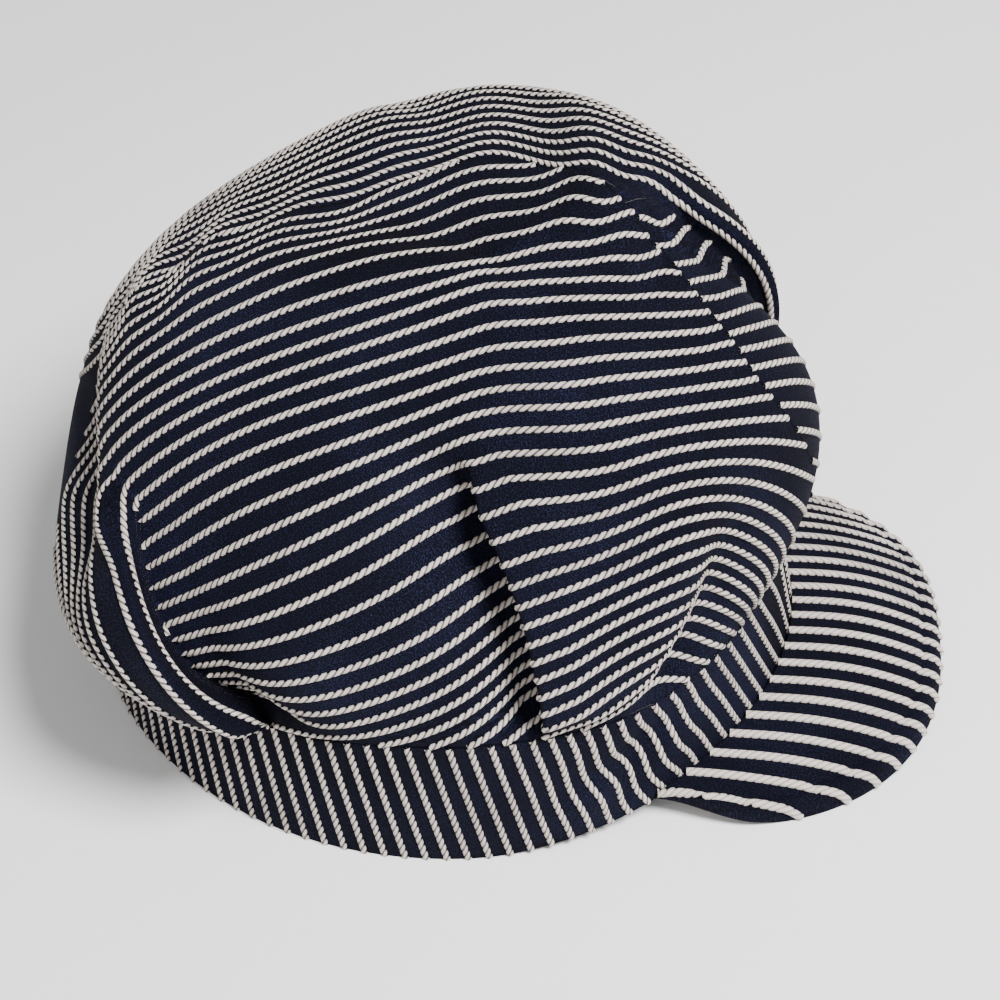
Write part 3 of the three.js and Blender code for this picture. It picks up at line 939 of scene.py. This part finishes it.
def cord_yarn(name, width, contrast):
    """Cream cord of plies wound round each other, with painted shade in the twist's grooves and at the
    cord's edges; contrast sets how much the twist shows and how dark that painted shade is.
    """
    n = Nodes(name)
    along = n.attribute("run")
    beside = n.attribute("beside")
    turns = n.math("ADD", n.math("DIVIDE", along, TWIST), n.math("MULTIPLY", beside, 0.5))
    ply = n.math("ABSOLUTE", n.math("SUBTRACT", n.math("FRACT", turns), 0.5))
    groove = n.ramp(ply, 0.22, 0.5)
    cut = n.math("MULTIPLY", n.ramp(ply, 0.1, 0.5), SCALLOP_DEPTH * contrast)
    half_width = n.math("MULTIPLY", width / 2, n.math("SUBTRACT", 1.0, cut))
    place = n.place(beside, along)
    around = n.put("ShaderNodeTexCoord").outputs["Object"]
    fuzz = n.noise(place, 3.2, 3.0, 0.6)
    slanted = n.math("ADD", beside, n.math("MULTIPLY", along, 0.9))
    strand = n.noise(n.place(slanted, n.math("MULTIPLY", along, 0.08)), 7.0, 1.0, 0.5)
    wear = n.noise(around, 28.0, 3.0, 0.6)
    # the grooves between the plies and the cord's edges, where it turns down to the cloth, are darkened
    # with painted shade; the fuzz and wear noises add the yarn's own uneven tone
    edge = n.ramp(n.math("ABSOLUTE", beside), width * 0.30, width * 0.5)
    shade = n.math("ADD", n.math("MULTIPLY", groove, contrast), n.math("MULTIPLY", edge, EDGE_SHADE))
    shade = n.math("ADD", shade, n.math("MULTIPLY", n.ramp(fuzz, 0.5, 0.8), FUZZ_TONE))
    shade = n.math("ADD", shade, n.math("MULTIPLY", n.ramp(wear, 0.52, 0.72), WEAR_TONE))
    color = n.mix(n.math("MINIMUM", shade, 1.0), CREAM, CREAM_SHADE)
    past_edge = n.math("SUBTRACT", n.math("ABSOLUTE", beside), half_width)
    color = n.mix(n.ramp(past_edge, -SCALLOP_SOFTNESS, SCALLOP_SOFTNESS), color, NAVY_DARK)
    dip = n.math("MULTIPLY", groove, 0.45 * contrast)
    height = n.math("SUBTRACT", n.math("MULTIPLY", strand, 0.1), dip)
    height = n.math("ADD", height, n.math("MULTIPLY", fuzz, 0.1))
    return n.cloth(color, height, YARN_ROUGHNESS)


def plain_cloth(name):
    n = Nodes(name)
    across = n.math("MULTIPLY", n.attribute("cord"), PITCH)
    along = n.attribute("run")
    color, height = navy_twill(n, n.place(across, along), along, across)
    return n.cloth(color, height, CLOTH_ROUGHNESS)


def dress(pieces, materials, node):
    for piece, material in zip(pieces, materials):
        piece.data.materials.append(material)
        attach(piece, "root")
        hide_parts(node)


def camera():
    azimuth = math.radians(VIEW_AZIMUTH)
    elevation = math.radians(VIEW_ELEVATION)
    back = Vector((math.sin(azimuth) * math.cos(elevation), -math.cos(azimuth) * math.cos(elevation),
                   math.sin(elevation)))
    focus = Vector(to_frame(np.array(VIEW_FOCUS)))
    right = (-back).cross(Vector((0, 0, 1))).normalized()
    up = right.cross(-back)
    roll = math.radians(VIEW_ROLL)
    rolled_right = right * math.cos(roll) + up * math.sin(roll)
    rolled_up = up * math.cos(roll) - right * math.sin(roll)
    data = bpy.data.cameras.new("camera")
    data.sensor_width = SENSOR_WIDTH
    data.lens = VIEW_LENS
    data.clip_start = 0.01
    eye = bpy.data.objects.new("camera", data)
    turn = Matrix((rolled_right, rolled_up, back)).transposed().to_4x4()
    eye.matrix_world = Matrix.Translation(focus + back * VIEW_DISTANCE / 1000) @ turn
    bpy.context.scene.collection.objects.link(eye)
    bpy.context.scene.camera = eye


def area_light(name, place, size, power):
    data = bpy.data.lights.new(name, "AREA")
    data.shape = "DISK"
    data.size = size
    data.energy = power
    lamp = bpy.data.objects.new(name, data)
    lamp.location = place
    lamp.rotation_euler = (Vector(LIGHT_AIM) - Vector(place)).to_track_quat("-Z", "Y").to_euler()
    bpy.context.scene.collection.objects.link(lamp)


def studio():
    mesh = bpy.data.meshes.new("floor")
    half = FLOOR_SIZE / 2
    corners = [(-half, -half, 0), (half, -half, 0), (half, half, 0), (-half, half, 0)]
    mesh.from_pydata(corners, [], [(0, 1, 2, 3)])
    floor = bpy.data.objects.new("floor", mesh)
    bpy.context.scene.collection.objects.link(floor)
    n = Nodes("floor_paper")
    shader = n.put("ShaderNodeBsdfPrincipled", {"Base Color": FLOOR_COLOR, "Roughness": 0.9})
    n.put("ShaderNodeOutputMaterial", {"Surface": shader.outputs[0]})
    mesh.materials.append(n.material)
    world = bpy.data.worlds.new("studio")
    world.use_nodes = True
    background = world.node_tree.nodes["Background"]
    background.inputs["Color"].default_value = (1.0, 1.0, 1.0, 1)
    background.inputs["Strength"].default_value = SKY_STRENGTH
    bpy.context.scene.world = world
    area_light("key", place=(-0.4, -0.65, 1.2), size=0.55, power=44)
    area_light("fill", place=(-0.9, 0.3, 0.8), size=1.0, power=3)


camera()
studio()
crown_look = (striped_cloth("crown_cloth", FLAT_STRIPE_WIDTH),
              cord_yarn("crown_cord", CORD_WIDTH, contrast=0.9))
band_look = (striped_cloth("band_cloth", BAND_CORD_WIDTH),
             cord_yarn("band_cord", BAND_CORD_WIDTH, contrast=0.9))
peak_look = (striped_cloth("peak_cloth", PEAK_CORD_WIDTH),
             cord_yarn("peak_cord", PEAK_CORD_WIDTH, contrast=0.45))
dress(crown_half("crown_right", -1), crown_look, "crown_right")
dress(crown_half("crown_left", 1), crown_look, "crown_left")
dress(back_gore(), (plain_cloth("navy_cloth"),), "back_gore")
dress(band(), band_look, "band")
dress(peak(), peak_look, "peak")
